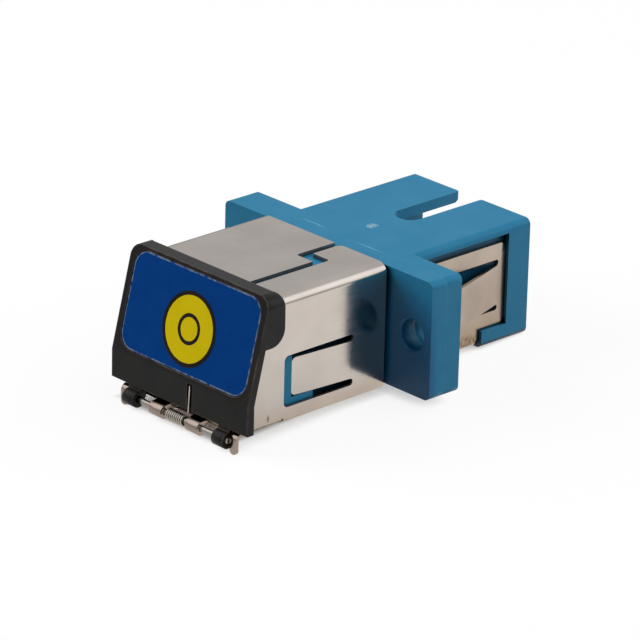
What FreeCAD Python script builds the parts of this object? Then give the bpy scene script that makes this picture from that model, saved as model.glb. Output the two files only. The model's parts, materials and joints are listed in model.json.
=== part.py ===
import FreeCAD, Part
import math
import os

# SC fibre adapter with a sprung, hinged shutter over its front port.
#
# Millimetres. X runs along the flange, +Y points out of the open rear port and Z is up,
# with the key slots on top. The origin lies on the optical axis at the flange's front face.

# ---- Driving dimensions: moulded body, made twice and welded in the middle of the flange
FLANGE_W = 22.0
FLANGE_T = 2.93
FLANGE_CORNER_R = 0.5
HOLE_INSET = 2.0
HOLE_D = 2.3
HOLE_CHAMFER = 0.15
PORT_W = 9.1
PORT_H = 7.45
SIDE_WALL = 1.75
FLAT_WALL = 0.835
BODY_EDGE_R = 0.5
BODY_LENGTH = 26.37
LEAD_IN = 0.4
LEAD_IN_TOP = 0.24
KEY_W = 2.3
KEY_LENGTH = 7.4
KEY_MOUTH_R = 0.2
KEY_END_FLAT = 0.1

# ---- Side pockets of the body: the panel clip sits in the rear pair, the snap tongues in the front
POCKET_END = 11.0
SNAP_POCKET_END = 10.6
POCKET_TOP = 3.95
POCKET_BOTTOM = -3.2
WRAP_LENGTH = 8.5
CLIP_SINK = 0.3
CLIP_BOTTOM_SINK = 0.1
CLIP_T = 0.25
CLIP_BEND_R = 0.6
CLIP_TOP_GAP = 0.7
CLIP_CORNER_R = 0.5
CLIP_EDGE_GAP = 0.08
CLIP_TONGUE_H = 3.1
CLIP_FRAME_W = 1.215
CLIP_TONGUE_DEG = 17.0
CLIP_SLOT = 0.45
CLIP_SLOT_SETBACK = 0.65

# ---- Latch inserts and alignment sleeve
INSERT_LEDGE_X = 0.6
INSERT_LEDGE_Z = 0.375
INSERT_T = 1.2
SLEEVE_BORE_D = 2.5
SLEEVE_WALL = 0.35
SLEEVE_L = 11.4
SLEEVE_SLIT = 0.3
HOLDER_WALL = 0.6
HOLDER_LIP_GROW = 0.5
HOLDER_LIP_L = 0.5
ARM_REACH = 7.6
ARM_T = 0.75
ARM_H = 2.5
ARM_SIDE_GAP = 0.3
HOOK_DEPTH = 0.75
HOOK_L = 1.6
HOOK_FLAT = 0.4
HOOK_NOSE = 0.25

# ---- Shutter housing, folded from one sheet
SHEET_T = 0.26
FOOT_BEND_IN_R = 0.06
WALL_FOOT_GAP = 0.04
BACK_GAP = 0.3
OVERHANG = 1.78
BEND_RISE = 2.45
LEAN_DEG = 13.8
SEAM_GAP = 0.6
SEAM_REAR_X = 1.44
SEAM_FRONT_X = 3.18
SEAM_JOG_Y = -4.1
SEAM_JOG_L = 1.1
SEAM_END_R = 0.25
SEAM_MOUTH_R = 0.5
SNAP_TOP = -0.27
SNAP_H = 2.9
SNAP_SLOT = 0.53
SNAP_FRONT_GAP = 1.08
SNAP_END_GAP = 0.1
SNAP_L = 5.375
SNAP_DROP = 0.43
SNAP_CORNER_R = 0.4
STRIP_FREE_L = 3.3
STRIP_BEND_L = 1.6
STRIP_FLAT_L = 0.1
STRIP_DROP = 0.21
STRIP_RELIEF_R = 0.1
STRIP_SIDE_SETBACK = 0.4
ROLL_L = 1.28
ROLL_DROP = 0.11
ROLL_LEG_GAP = 0.2
ROLL_WRAP_DEG = 275.0
EAR_W = 0.66
EAR_DROP = 0.9
EAR_BEND_R = 0.52
EAR_TIP_R = 0.3

# ---- Hinge
PIN_D = 0.5
PIN_CHAMFER = 0.06
PIN_END_GAP = 0.1
AXIS_REACH = 0.77
KNUCKLE_OD = 1.25
KNUCKLE_L = 1.2
KNUCKLE_CLEAR = 0.12

# ---- Shutter door
DOOR_T = 0.65
DOOR_FOOT_RISE = 0.86
DOOR_CORNER_R = 1.0
HOOD_T = 0.5
HOOD_L = 2.35
CHEEK_L = 2.73
CHEEK_T = 0.61
CHEEK_BOTTOM = 1.6
CHEEK_CORNER_R = 1.3
DOOR_FACE_GAP = 0.07
DOOR_SIDE_GAP = 0.1
LABEL_SIDE_MARGIN = 0.6
LABEL_TOP_MARGIN = 0.31
LABEL_START = 0.42
LABEL_CORNER_R = 1.3
LABEL_T = 0.1
LABEL_SINK = 0.05
LABEL_GAP = 0.03
GROOVE_SIDE_GAP = 0.045
GROOVE_W = 0.5
GROOVE_TOP = -2.5
GROOVE_DEPTH = 0.27

# ---- Torsion spring
WIRE_D = 0.17
WIRE_SIDES = 6
COIL_MEAN_R = 0.39
COIL_L = 1.72
COIL_TURNS = 10
LEG_X = 1.02
LEG_SINK = 0.04
LEG_TIP_SINK = 0.17
BACK_LEG_L = 1.3

# ---- Clearances between mating pieces
SHELL_GAP = 0.03
FIT_GAP = 0.05
PIN_GAP_FIXED = 0.02
PIN_GAP_RUNNING = 0.04
PAST = 1.0
SKEW = 0.001

# ---- Derived places
V = FreeCAD.Vector
HOLE_X = FLANGE_W / 2 - HOLE_INSET
BODY_W = PORT_W + 2 * SIDE_WALL
BODY_H = PORT_H + 2 * FLAT_WALL
INSERT_W = PORT_W + 2 * INSERT_LEDGE_X
INSERT_H = PORT_H + 2 * INSERT_LEDGE_Z
JOINT_Y = FLANGE_T / 2
MOUTH_Y = JOINT_Y + BODY_LENGTH / 2
POCKET_END_Y = JOINT_Y + POCKET_END
WRAP_END_Y = JOINT_Y + WRAP_LENGTH
KEY_END_Y = MOUTH_Y - KEY_LENGTH
KEY_END_R = KEY_W / 2 - KEY_END_FLAT

CLIP_X = BODY_W / 2 - CLIP_SINK
CLIP_Z = -BODY_H / 2 + CLIP_BOTTOM_SINK
CLIP_TOP = POCKET_TOP - CLIP_TOP_GAP
CLIP_BACK_Y = FLANGE_T + FIT_GAP
CLIP_END_Y = POCKET_END_Y - CLIP_EDGE_GAP
TONGUE_ROOT_Y = CLIP_END_Y - CLIP_SLOT_SETBACK
TONGUE_L = TONGUE_ROOT_Y - CLIP_BACK_Y - CLIP_FRAME_W - CLIP_SLOT
CORE_X = CLIP_X - CLIP_T - SHELL_GAP
CORE_Z = CLIP_Z + CLIP_T + SHELL_GAP
CORE_R = CLIP_BEND_R - CLIP_T - SHELL_GAP

SHELL_X = BODY_W / 2 + SHELL_GAP + SHEET_T
SHELL_Z = BODY_H / 2 + SHELL_GAP + SHEET_T
SHELL_R = BODY_EDGE_R + SHELL_GAP + SHEET_T
SNAP_POCKET_END_Y = JOINT_Y + SNAP_POCKET_END
SNAP_END_Y = 2 * JOINT_Y - SNAP_POCKET_END_Y + SNAP_END_GAP
SNAP_ROOT_Y = SNAP_END_Y + SNAP_L
SNAP_BOTTOM = SNAP_TOP - SNAP_H
FRONT_Y = 2 * JOINT_Y - MOUTH_Y - OVERHANG
BEND_Z = BEND_RISE - SHELL_Z
LEAN = math.radians(LEAN_DEG)

SHELL_FOOT_R = FOOT_BEND_IN_R + SHEET_T
STRIP_ROOT_Y = FRONT_Y + STRIP_FREE_L
STRIP_FLAT_Y = FRONT_Y + STRIP_FLAT_L
STRIP_BEND_Y = FRONT_Y + STRIP_BEND_L
STRIP_BOTTOM = -SHELL_Z - STRIP_DROP
STRIP_TOP = STRIP_BOTTOM + SHEET_T
WALL_FOOT = -SHELL_Z + SHEET_T + WALL_FOOT_GAP
AXIS_Y = FRONT_Y - AXIS_REACH
AXIS_Z = STRIP_BOTTOM - ROLL_DROP - PIN_GAP_FIXED - PIN_D / 2
STRIP_FRONT_Y = AXIS_Y + EAR_BEND_R
ROLL_IN_R = PIN_D / 2 + PIN_GAP_FIXED
ROLL_IN_X = LEG_X + WIRE_D / 2 + ROLL_LEG_GAP
ROLL_OUT_X = ROLL_IN_X + ROLL_L
EAR_OUT_X = SHELL_X - STRIP_SIDE_SETBACK
EAR_IN_X = EAR_OUT_X - EAR_W
EAR_BOTTOM = AXIS_Z - EAR_DROP
PIN_HALF_L = EAR_IN_X - PIN_END_GAP
KNUCKLE_OUT_X = EAR_IN_X - KNUCKLE_CLEAR
KNUCKLE_IN_X = KNUCKLE_OUT_X - KNUCKLE_L

DOOR_REAR_Y = FRONT_Y - DOOR_FACE_GAP
DOOR_FRONT_Y = DOOR_REAR_Y - DOOR_T
DOOR_IN_X = SHELL_X + DOOR_SIDE_GAP
DOOR_OUT_X = DOOR_IN_X + CHEEK_T
DOOR_IN_R = SHELL_R + DOOR_SIDE_GAP
DOOR_BOTTOM = AXIS_Z + DOOR_FOOT_RISE
HOOD_UNDER = SHELL_Z + DOOR_SIDE_GAP
DOOR_TOP = HOOD_UNDER + HOOD_T
HOOD_REAR_Y = FRONT_Y + HOOD_L
CHEEK_REAR_Y = FRONT_Y + CHEEK_L
LABEL_H = (DOOR_TOP - BEND_Z) / math.cos(LEAN) - LABEL_START - LABEL_TOP_MARGIN
LABEL_HALF_W = DOOR_OUT_X - LABEL_SIDE_MARGIN

SLEEVE_OUT_R = SLEEVE_BORE_D / 2 + SLEEVE_WALL
HOLDER_BORE_R = SLEEVE_OUT_R + FIT_GAP
HOLDER_LIP_R = (SLEEVE_BORE_D + HOLDER_LIP_GROW) / 2


# ---- Small helpers
def box(x0, x1, y0, y1, z0, z1):
    """An axis-aligned block between two values on each axis."""
    return Part.makeBox(x1 - x0, y1 - y0, z1 - z0, V(x0, y0, z0))


def rod(radius, x0, x1, y, z):
    """A round bar along X."""
    return Part.makeCylinder(radius, x1 - x0, V(x0, y, z), V(1, 0, 0))


def post(radius, y0, y1, x=0.0, z=0.0):
    """A round bar along Y."""
    return Part.makeCylinder(radius, y1 - y0, V(x, y0, z), V(0, 1, 0))


def prism(points, sweep):
    """The closed polygon through points, swept along a vector."""
    wire = Part.makePolygon([*points, points[0]])
    return Part.Face(wire).extrude(sweep)


def side_prism(outline, x0, x1):
    """A (y, z) outline swept from x0 to x1."""
    points = [V(x0, y, z) for y, z in outline]
    return prism(points, V(x1 - x0, 0, 0))


def plan_prism(outline, z0, z1):
    """An (x, y) outline swept from z0 to z1."""
    points = [V(x, y, z0) for x, y in outline]
    return prism(points, V(0, 0, z1 - z0))


def edges_along(shape, direction, keep=lambda middle: True):
    """The straight edges of shape parallel to direction whose middle point is kept."""
    found = []
    for edge in shape.Edges:
        if not isinstance(edge.Curve, Part.Line):
            continue
        middle = edge.valueAt((edge.FirstParameter + edge.LastParameter) / 2)
        along = edge.Curve.Direction.cross(direction).Length < SKEW
        if along and keep(middle):
            found.append(edge)
    return found


def rounded(shape, radius, direction, keep=lambda middle: True):
    """shape with its kept edges along direction rounded."""
    return shape.makeFillet(radius, edges_along(shape, direction, keep))


def bar(half_x, half_z, radius, y0, y1):
    """A bar along Y with four rounded long edges."""
    return rounded(box(-half_x, half_x, y0, y1, -half_z, half_z), radius, V(0, 1, 0))


def turned(shape):
    """The front half's place: half a turn about the vertical line in the joint plane."""
    copy = shape.copy()
    copy.rotate(V(0, JOINT_Y, 0), V(0, 0, 1), 180)
    return copy


def mirrored(shape):
    """The same shape on the -X side."""
    return shape.mirror(V(0, 0, 0), V(1, 0, 0))


def both_sides(shape):
    """The shape and its mirror image."""
    return [shape, mirrored(shape)]


# ---- Moulded body
def screw_hole():
    """Cutter for one flange hole of this half, with its rim chamfer."""
    drill = post(HOLE_D / 2, JOINT_Y - PAST, FLANGE_T + PAST, HOLE_X)
    rim = Part.makeCone(HOLE_D / 2, HOLE_D / 2 + HOLE_CHAMFER, HOLE_CHAMFER,
                        V(HOLE_X, FLANGE_T - HOLE_CHAMFER, 0), V(0, 1, 0))
    return drill.fuse(rim)


def key_slot():
    """Cutter for the key slot: open at the mouth, round at its inner end."""
    slot = box(-KEY_W / 2, KEY_W / 2, KEY_END_Y, MOUTH_Y + PAST, 0, BODY_H)
    return rounded(slot, KEY_END_R, V(0, 0, 1), lambda p: p.y < KEY_END_Y + FIT_GAP)


def lead_in():
    """Cutter for the bevel round the inside of the mouth."""
    wires = []
    for y, grow in ((MOUTH_Y - LEAD_IN, 0.0), (MOUTH_Y, 1.0), (MOUTH_Y + PAST, 1.0)):
        x = PORT_W / 2 + grow * LEAD_IN
        z = PORT_H / 2 + grow * LEAD_IN_TOP
        corners = [V(-x, y, -z), V(x, y, -z), V(x, y, z), V(-x, y, z)]
        wires.append(Part.makePolygon([*corners, corners[0]]))
    return Part.makeLoft(wires, True, True)


def clip_space(end_y):
    """Cutter for the pocket round the tube's sides and underside, as far as end_y above the lugs."""
    around = box(-BODY_W, BODY_W, FLANGE_T, WRAP_END_Y, -BODY_H, POCKET_TOP)
    above_lug = box(-BODY_W, BODY_W, FLANGE_T, end_y, POCKET_BOTTOM, POCKET_TOP)
    core = rounded(box(-CORE_X, CORE_X, 0, MOUTH_Y, CORE_Z, BODY_H), CORE_R, V(0, 1, 0),
                   lambda p: p.z < 0)
    return around.fuse(above_lug).cut(core)


def body_half(pocket_end_y):
    """A half in the rear place: its share of the flange and the tube round the port."""
    flange = bar(FLANGE_W / 2, BODY_H / 2, FLANGE_CORNER_R, JOINT_Y, FLANGE_T)
    tube = bar(BODY_W / 2, BODY_H / 2, BODY_EDGE_R, JOINT_Y, MOUTH_Y)
    body = flange.fuse(tube).removeSplitter()
    port = box(-PORT_W / 2, PORT_W / 2, 0, MOUTH_Y + PAST, -PORT_H / 2, PORT_H / 2)
    seat_x = INSERT_W / 2 + FIT_GAP
    seat_z = INSERT_H / 2 + FIT_GAP
    seat = box(-seat_x, seat_x, 0, JOINT_Y + INSERT_T + FIT_GAP, -seat_z, seat_z)
    body = body.cut([port, seat, key_slot(), clip_space(pocket_end_y), *both_sides(screw_hole())])
    body = rounded(body, KEY_MOUTH_R, V(0, 0, 1),
                   lambda p: p.z > 0 and abs(p.y - MOUTH_Y) < FIT_GAP and abs(p.x) < KEY_W)
    return body.cut(lead_in())


# ---- Latch insert: plate, sleeve holder and two hook arms
def hook_arm():
    """The +X arm: a flat spring with an inward hook that has a sloped nose."""
    outer = PORT_W / 2 - ARM_SIDE_GAP
    inner = outer - ARM_T
    tip = JOINT_Y + ARM_REACH
    outline = [
        (outer, JOINT_Y),
        (outer, tip - HOOK_DEPTH),
        (inner, tip),
        (inner - HOOK_DEPTH + HOOK_NOSE, tip - HOOK_DEPTH),
        (inner - HOOK_DEPTH, tip - HOOK_L + HOOK_FLAT),
        (inner - HOOK_DEPTH, tip - HOOK_L),
        (inner, tip - HOOK_L),
        (inner, JOINT_Y),
    ]
    return plan_prism(outline, -ARM_H / 2, ARM_H / 2)


def latch_insert():
    """The insert of the rear half."""
    plate = box(-INSERT_W / 2, INSERT_W / 2, JOINT_Y, JOINT_Y + INSERT_T,
                -INSERT_H / 2, INSERT_H / 2)
    sleeve_end = JOINT_Y + SLEEVE_L / 2 + FIT_GAP
    holder = post(HOLDER_BORE_R + HOLDER_WALL, JOINT_Y, sleeve_end + HOLDER_LIP_L)
    solid = plate.fuse([holder, *both_sides(hook_arm())]).removeSplitter()
    bore = post(HOLDER_BORE_R, 0, sleeve_end)
    lip = post(HOLDER_LIP_R, 0, sleeve_end + PAST)
    return solid.cut([bore, lip])


def split_sleeve():
    """The slit tube that lines up the two ferrules."""
    y0 = JOINT_Y - SLEEVE_L / 2
    y1 = JOINT_Y + SLEEVE_L / 2
    tube = post(SLEEVE_OUT_R, y0, y1).cut(post(SLEEVE_BORE_D / 2, y0 - PAST, y1 + PAST))
    slit = box(-SLEEVE_SLIT / 2, SLEEVE_SLIT / 2, y0 - PAST, y1 + PAST, 0, BODY_H)
    return tube.cut(slit)


# ---- Panel clip
def clip_tongue_cut():
    """Cutter for the window that the +X tongue is lanced from."""
    reach = CLIP_TONGUE_H / 2 + CLIP_SLOT
    mid = CLIP_SLOT / 2
    end = TONGUE_ROOT_Y - mid
    window = box(0, BODY_W, CLIP_BACK_Y + CLIP_FRAME_W, end, -reach, reach)
    ends = [Part.makeCylinder(mid, BODY_W, V(0, end, side * (reach - mid)), V(1, 0, 0))
            for side in (-1, 1)]
    return window.fuse(ends)


def clip_tongue():
    """The +X tongue, bent outwards at its root, with its free end towards the flange."""
    tongue = box(CLIP_X - CLIP_T, CLIP_X, TONGUE_ROOT_Y - TONGUE_L, TONGUE_ROOT_Y,
                 -CLIP_TONGUE_H / 2, CLIP_TONGUE_H / 2)
    tongue = rounded(tongue, CLIP_CORNER_R, V(1, 0, 0), lambda p: p.y < TONGUE_ROOT_Y - PAST)
    tongue.rotate(V(CLIP_X - CLIP_T, TONGUE_ROOT_Y, 0), V(0, 0, 1), CLIP_TONGUE_DEG)
    return tongue


def panel_clip():
    """A U of spring sheet round the rear tube, with a panel tongue on each side."""
    outside = rounded(box(-CLIP_X, CLIP_X, CLIP_BACK_Y, CLIP_END_Y, CLIP_Z, CLIP_TOP),
                      CLIP_BEND_R, V(0, 1, 0), lambda p: p.z < 0)
    inside_x = CLIP_X - CLIP_T
    inside = rounded(box(-inside_x, inside_x, 0, MOUTH_Y, CLIP_Z + CLIP_T, BODY_H),
                     CLIP_BEND_R - CLIP_T, V(0, 1, 0), lambda p: p.z < 0)
    clip = outside.cut(inside)
    lug_room = box(-BODY_W, BODY_W, WRAP_END_Y - CLIP_EDGE_GAP, MOUTH_Y,
                   -BODY_H, POCKET_BOTTOM + CLIP_EDGE_GAP)
    clip = clip.cut([lug_room, *both_sides(clip_tongue_cut())])
    clip = rounded(clip, CLIP_CORNER_R, V(1, 0, 0),
                   lambda p: abs(p.y - CLIP_END_Y) < FIT_GAP and abs(p.x) > inside_x)
    return clip.fuse(both_sides(clip_tongue())).removeSplitter()


# ---- Shutter housing
def folded_bar(inset, y0, y1):
    """The sheet box's section along Y, inset from its outer faces: wide top bends, tight foot bends."""
    half_x = SHELL_X - inset
    half_z = SHELL_Z - inset
    solid = box(-half_x, half_x, y0, y1, -half_z, half_z)
    solid = rounded(solid, SHELL_R - inset, V(0, 1, 0), lambda p: p.z > 0)
    return rounded(solid, SHELL_FOOT_R - inset, V(0, 1, 0), lambda p: p.z < FIT_GAP - half_z)


def lean_outline(front_y, z_top):
    """(y, z) of a front face that is upright below BEND_Z and leans back above it."""
    top_y = front_y + (z_top - BEND_Z) * math.tan(LEAN)
    return [(front_y, BEND_Z), (top_y, z_top)]


def front_trim():
    """Cutter for everything in front of the leaning part of the front edge."""
    (y0, z0), (y1, z1) = lean_outline(FRONT_Y, BODY_H)
    return side_prism([(y0, z0), (y1, z1), (y0 - PAST, z1), (y0 - PAST, z0)], -BODY_W, BODY_W)


def top_seam():
    """Cutter for the jogged gap between the two edges of the sheet, round at both ends of the jog."""
    half = SEAM_GAP / 2
    jog_end = SEAM_JOG_Y + SEAM_JOG_L
    rear_left, rear_right = SEAM_REAR_X - half, SEAM_REAR_X + half
    front_left, front_right = SEAM_FRONT_X - half, SEAM_FRONT_X + half
    outline = [(rear_right, PAST), (rear_left, PAST), (rear_left, SEAM_JOG_Y), (front_left, SEAM_JOG_Y),
               (front_left, FRONT_Y - PAST), (front_right, FRONT_Y - PAST),
               (front_right, jog_end), (rear_right, jog_end)]
    ends = ((rear_left, SEAM_JOG_Y), (front_right, jog_end))
    return rounded(plan_prism(outline, 0, BODY_H), SEAM_END_R, V(0, 0, 1),
                   lambda p: min(math.dist((p.x, p.y), end) for end in ends) < FIT_GAP)


def snap_window():
    """Cutter for the C-shaped opening round the +X snap tongue."""
    top = SNAP_TOP + SNAP_SLOT
    bottom = SNAP_BOTTOM - SNAP_SLOT
    mid = SNAP_SLOT / 2
    window = box(0, SHELL_X + PAST, SNAP_END_Y - SNAP_FRONT_GAP, SNAP_ROOT_Y, bottom, top)
    window = rounded(window, SNAP_CORNER_R, V(1, 0, 0), lambda p: p.y < SNAP_END_Y)
    ends = [Part.makeCylinder(mid, SHELL_X + PAST, V(0, SNAP_ROOT_Y, z), V(1, 0, 0))
            for z in (top - mid, bottom + mid)]
    return window.fuse(ends)


def snap_tongue():
    """The +X tongue, leaning inwards so that its end catches behind the body's end bar."""
    inner_x = SHELL_X - SHEET_T
    outline = [(SHELL_X, SNAP_ROOT_Y + SNAP_SLOT), (SHELL_X, SNAP_ROOT_Y),
               (SHELL_X - SNAP_DROP, SNAP_END_Y), (inner_x - SNAP_DROP, SNAP_END_Y),
               (inner_x, SNAP_ROOT_Y), (inner_x, SNAP_ROOT_Y + SNAP_SLOT)]
    tongue = plan_prism(outline, SNAP_BOTTOM, SNAP_TOP)
    return rounded(tongue, SNAP_CORNER_R, V(1, 0, 0), lambda p: p.y < SNAP_END_Y + FIT_GAP)


def hinge_strip():
    """The bottom sheet from its free root forward, stepping down to the pin's height."""
    lower = [(STRIP_ROOT_Y, -SHELL_Z), (STRIP_BEND_Y, -SHELL_Z),
             (STRIP_FLAT_Y, STRIP_BOTTOM), (STRIP_FRONT_Y, STRIP_BOTTOM)]
    upper = [(y, z + SHEET_T) for y, z in reversed(lower)]
    strip = side_prism([*lower, *upper], -EAR_OUT_X, EAR_OUT_X)
    notch = box(KNUCKLE_IN_X - KNUCKLE_CLEAR, KNUCKLE_OUT_X + KNUCKLE_CLEAR,
                STRIP_FRONT_Y - PAST, DOOR_REAR_Y + KNUCKLE_CLEAR, -BODY_H, 0)
    return strip.cut(both_sides(notch)).fuse([*both_sides(pin_stop()), *both_sides(roll())])


def roll():
    """The +X rolled knuckle: the sheet slopes down on to the pin and curls round it."""
    top_z = AXIS_Z + ROLL_IN_R
    lower = [(STRIP_FLAT_Y, STRIP_BOTTOM), (STRIP_FRONT_Y, STRIP_BOTTOM), (AXIS_Y, top_z)]
    upper = [(y, z + SHEET_T) for y, z in reversed(lower)]
    tab = side_prism([*lower, *upper], ROLL_IN_X, ROLL_OUT_X)
    corners = ((ROLL_IN_X, top_z), (ROLL_OUT_X, top_z),
               (ROLL_OUT_X, top_z + SHEET_T), (ROLL_IN_X, top_z + SHEET_T))
    section = [V(x, AXIS_Y, z) for x, z in corners]
    face = Part.Face(Part.makePolygon([*section, section[0]]))
    curl = face.revolve(V(0, AXIS_Y, AXIS_Z), V(1, 0, 0), ROLL_WRAP_DEG)
    return tab.fuse(curl)


def pin_stop():
    """The +X ear: a tab bent down in front of the pin's end."""
    bend_z = STRIP_TOP - EAR_BEND_R
    outside = rod(EAR_BEND_R, EAR_IN_X, EAR_OUT_X, STRIP_FRONT_Y, bend_z)
    inside = rod(EAR_BEND_R - SHEET_T, EAR_IN_X, EAR_OUT_X, STRIP_FRONT_Y, bend_z)
    quarter = box(EAR_IN_X, EAR_OUT_X, AXIS_Y, STRIP_FRONT_Y, bend_z, STRIP_TOP)
    bend = outside.cut(inside).common(quarter)
    drop = box(EAR_IN_X, EAR_OUT_X, AXIS_Y, AXIS_Y + SHEET_T, EAR_BOTTOM, bend_z)
    drop = rounded(drop, EAR_TIP_R, V(0, 1, 0), lambda p: p.z < EAR_BOTTOM + FIT_GAP)
    return bend.fuse(drop)


def shutter_housing():
    """The sheet box round the front tube, with its snap tongues and hinge strip."""
    outside = folded_bar(0.0, FRONT_Y, -BACK_GAP)
    inside = folded_bar(SHEET_T, FRONT_Y - PAST, PAST)
    freed = box(-BODY_W, BODY_W, FRONT_Y - PAST, STRIP_ROOT_Y, -BODY_H, WALL_FOOT)
    relief = rod(STRIP_RELIEF_R, -BODY_W, BODY_W, STRIP_ROOT_Y, WALL_FOOT)
    shell = outside.cut([inside, front_trim(), top_seam(), freed, relief, *both_sides(snap_window())])
    mouth_x = SEAM_REAR_X + SEAM_GAP / 2
    shell = rounded(shell, SEAM_MOUTH_R, V(0, 0, 1),
                    lambda p: p.z > 0 and math.dist((p.x, p.y), (mouth_x, -BACK_GAP)) < FIT_GAP)
    return shell.fuse([*both_sides(snap_tongue()), hinge_strip()]).removeSplitter()


# ---- Hinge pin, door, label and spring
def hinge_pin():
    """The pin that the sheet rolls hold and the door turns on."""
    pin = rod(PIN_D / 2, -PIN_HALF_L, PIN_HALF_L, AXIS_Y, AXIS_Z)
    rims = [edge for edge in pin.Edges if isinstance(edge.Curve, Part.Circle)]
    return pin.makeChamfer(PIN_CHAMFER, rims)


def door_outline(front_y, top_z, rear_y):
    """(y, z) outline behind a front face, from the door's foot to top_z."""
    return [(front_y, DOOR_BOTTOM), *lean_outline(front_y, top_z), (rear_y, top_z), (rear_y, DOOR_BOTTOM)]


def arch(half_x, top_z, radius):
    """A tall bar along Y with its two top edges rounded."""
    slab = box(-half_x, half_x, DOOR_FRONT_Y - PAST, PAST, -BODY_H, top_z)
    return rounded(slab, radius, V(0, 1, 0), lambda p: p.z > 0)


def hood_trim():
    """Cutter that sets the hood's rear edge forward of the cheeks, slanting across both corners."""
    flat_x = DOOR_OUT_X - DOOR_CORNER_R
    outline = [(-DOOR_OUT_X, CHEEK_REAR_Y), (-flat_x, HOOD_REAR_Y), (flat_x, HOOD_REAR_Y),
               (DOOR_OUT_X, CHEEK_REAR_Y), (DOOR_OUT_X, PAST), (-DOOR_OUT_X, PAST)]
    return plan_prism(outline, HOOD_UNDER - DOOR_IN_R, BODY_H)


def door_shell():
    """Face plate, hood and cheeks, hollow behind the plate."""
    solid = side_prism(door_outline(DOOR_FRONT_Y, DOOR_TOP, CHEEK_REAR_Y), -DOOR_OUT_X, DOOR_OUT_X)
    solid = solid.common(arch(DOOR_OUT_X, DOOR_TOP, DOOR_CORNER_R))
    below_cheeks = side_prism([*lean_outline(DOOR_REAR_Y, CHEEK_BOTTOM),
                               (PAST, CHEEK_BOTTOM), (PAST, -BODY_H), (DOOR_REAR_Y, -BODY_H)],
                              -BODY_W, BODY_W)
    inside = side_prism([(DOOR_REAR_Y, -BODY_H), *lean_outline(DOOR_REAR_Y, DOOR_TOP),
                         (PAST, DOOR_TOP), (PAST, -BODY_H)], -BODY_W, BODY_W)
    inside = inside.common(arch(DOOR_IN_X, HOOD_UNDER, DOOR_IN_R))
    shell = solid.cut([below_cheeks, inside, hood_trim()])
    return rounded(shell, CHEEK_CORNER_R, V(1, 0, 0),
                   lambda p: abs(p.y - CHEEK_REAR_Y) < FIT_GAP and abs(p.z - CHEEK_BOTTOM) < FIT_GAP)


def door_knuckle():
    """The +X knuckle with the flat-topped arm that joins it to the door's foot."""
    barrel = rod(KNUCKLE_OD / 2, KNUCKLE_IN_X, KNUCKLE_OUT_X, AXIS_Y, AXIS_Z)
    arm = box(KNUCKLE_IN_X, KNUCKLE_OUT_X, AXIS_Y, DOOR_REAR_Y, AXIS_Z, AXIS_Z + KNUCKLE_OD / 2)
    foot = box(KNUCKLE_IN_X, KNUCKLE_OUT_X, DOOR_FRONT_Y, DOOR_REAR_Y, AXIS_Z, DOOR_BOTTOM + DOOR_T)
    return barrel.fuse([arm, foot])


def on_lean(shape):
    """Tilts an upright shape at the door's front plane on to its leaning face."""
    shape.rotate(V(0, DOOR_FRONT_Y, BEND_Z), V(1, 0, 0), -LEAN_DEG)
    return shape


def label_slab(near, far, grow):
    """A rounded label-sized slab, from depth near to depth far behind the leaning face."""
    half = LABEL_HALF_W + grow
    z0 = BEND_Z + LABEL_START - grow
    z1 = BEND_Z + LABEL_START + LABEL_H + grow
    slab = box(-half, half, DOOR_FRONT_Y + near, DOOR_FRONT_Y + far, z0, z1)
    return on_lean(rounded(slab, LABEL_CORNER_R, V(0, 1, 0)))


def shutter_door():
    """The one-piece moulded door."""
    door = door_shell().fuse(both_sides(door_knuckle()))
    bores = both_sides(rod(PIN_D / 2 + PIN_GAP_RUNNING, KNUCKLE_IN_X - PAST, KNUCKLE_OUT_X + PAST,
                           AXIS_Y, AXIS_Z))
    recess = label_slab(-PAST, LABEL_SINK + LABEL_T, LABEL_GAP)
    groove_x = LEG_X - WIRE_D / 2 - GROOVE_SIDE_GAP
    groove = box(groove_x, groove_x + GROOVE_W, DOOR_FRONT_Y - PAST,
                 DOOR_FRONT_Y + GROOVE_DEPTH, DOOR_BOTTOM - PAST, GROOVE_TOP)
    return door.cut([*bores, recess, groove]).removeSplitter()


def door_label():
    """The stuck-on label in its recess."""
    return label_slab(LABEL_SINK, LABEL_SINK + LABEL_T, 0.0)


def wire_section(start, direction):
    """The wire's section as a regular polygon across its path."""
    up = direction.cross(V(1, 0, 0)).normalize()
    side = direction.cross(up).normalize()
    corners = []
    for i in range(WIRE_SIDES):
        turn = 2 * math.pi * i / WIRE_SIDES
        corners.append(start + (up * math.cos(turn) + side * math.sin(turn)) * (WIRE_D / 2))
    return Part.makePolygon([*corners, corners[0]])


def leave_angle(y, z):
    """Where on the coil a straight leg to (y, z), measured from the axis, leaves it, for either hand."""
    lean = math.acos(COIL_MEAN_R / math.hypot(y, z))
    return math.atan2(z, y) + lean, math.atan2(z, y) - lean


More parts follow.
